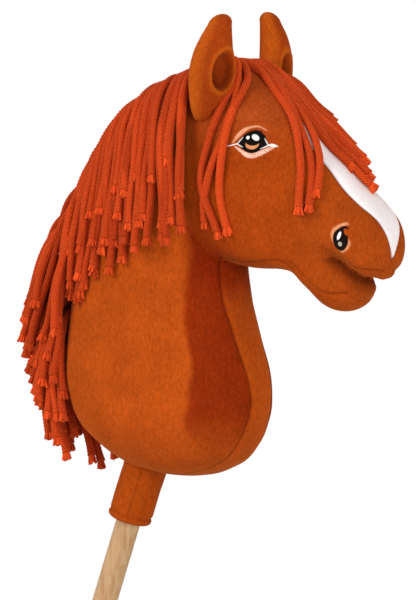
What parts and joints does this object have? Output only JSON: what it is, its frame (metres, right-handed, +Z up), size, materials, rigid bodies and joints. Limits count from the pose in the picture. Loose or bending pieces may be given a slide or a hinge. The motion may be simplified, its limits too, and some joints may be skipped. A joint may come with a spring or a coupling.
{
  "type": "hobby horse",
  "caption": "Stuffed plush horse head with padded ears, white blaze, and mane and forelock of cotton cords, on a straight wooden stick that pushes up into the neck.",
  "frame": {"origin": "centre of the stick's lower end face", "axes": "+X towards the nose, +Y to the horse's left, +Z up; the head stands level and the stick leans 20 degrees from +Z towards +X as it rises"},
  "size_m": [0.5248, 0.1558, 1.0445],
  "materials": {
    "stick": "sanded pale wood, unfinished",
    "stick_sleeve": "woven cotton",
    "cuff": "short-pile plush",
    "neck_stuffing": "polyester wadding",
    "head_stuffing": "polyester wadding",
    "chest_gusset": "short-pile plush",
    "neck_panel_left": "short-pile plush",
    "neck_panel_right": "short-pile plush",
    "lip_gusset": "short-pile plush",
    "jaw_gusset": "short-pile plush",
    "head_panel_left": "short-pile plush",
    "head_panel_right": "short-pile plush",
    "ear_left": "short-pile plush",
    "ear_right": "short-pile plush",
    "blaze_panel": "short-pile white plush",
    "ear_lining_left": "short-pile plush, darker",
    "ear_lining_right": "short-pile plush, darker",
    "eye_left": "embroidery and textile print",
    "eye_right": "embroidery and textile print",
    "nostril_left": "embroidery and textile print",
    "nostril_right": "embroidery and textile print",
    "mane_lock_01_left": "twisted cotton cord",
    "mane_lock_01_right": "twisted cotton cord",
    "mane_lock_02_left": "twisted cotton cord",
    "mane_lock_02_right": "twisted cotton cord",
    "mane_lock_03_left": "twisted cotton cord",
    "mane_lock_03_right": "twisted cotton cord",
    "mane_lock_04_left": "twisted cotton cord",
    "mane_lock_04_right": "twisted cotton cord",
    "mane_lock_05_left": "twisted cotton cord",
    "mane_lock_05_right": "twisted cotton cord",
    "mane_lock_06": "twisted cotton cord",
    "mane_lock_07": "twisted cotton cord",
    "mane_lock_08": "twisted cotton cord",
    "mane_lock_09": "twisted cotton cord",
    "mane_lock_10": "twisted cotton cord",
    "mane_lock_11": "twisted cotton cord",
    "forelock_right": "twisted cotton cord",
    "forelock_front": "twisted cotton cord",
    "forelock_left": "twisted cotton cord"
  },
  "bodies": {
    "stick": {"stick": "stick"},
    "head": {"stick_sleeve": "stick_sleeve", "cuff": "cuff", "neck_stuffing": "neck_stuffing", "head_stuffing": "head_stuffing", "chest_gusset": "chest_gusset", "neck_panel_left": "neck_panel_left", "neck_panel_right": "neck_panel_right", "lip_gusset": "lip_gusset", "jaw_gusset": "jaw_gusset", "head_panel_left": "head_panel_left", "head_panel_right": "head_panel_right", "ear_left": "ear_left", "ear_right": "ear_right", "blaze_panel": "blaze_panel", "ear_lining_left": "ear_lining_left", "ear_lining_right": "ear_lining_right", "eye_left": "eye_left", "eye_right": "eye_right", "nostril_left": "nostril_left", "nostril_right": "nostril_right", "mane_lock_01_left": "mane_lock_01_left", "mane_lock_01_right": "mane_lock_01_right", "mane_lock_02_left": "mane_lock_02_left", "mane_lock_02_right": "mane_lock_02_right", "mane_lock_03_left": "mane_lock_03_left", "mane_lock_03_right": "mane_lock_03_right", "mane_lock_04_left": "mane_lock_04_left", "mane_lock_04_right": "mane_lock_04_right", "mane_lock_05_left": "mane_lock_05_left", "mane_lock_05_right": "mane_lock_05_right", "mane_lock_06": "mane_lock_06", "mane_lock_07": "mane_lock_07", "mane_lock_08": "mane_lock_08", "mane_lock_09": "mane_lock_09", "mane_lock_10": "mane_lock_10", "mane_lock_11": "mane_lock_11", "forelock_right": "forelock_right", "forelock_front": "forelock_front", "forelock_left": "forelock_left"}
  },
  "joints": [
    {"name": "head_lift_off", "type": "slide", "parent": "stick", "child": "head", "axis": [0.342, 0, 0.9397], "range_m": [0, 0.22]}
  ]
}
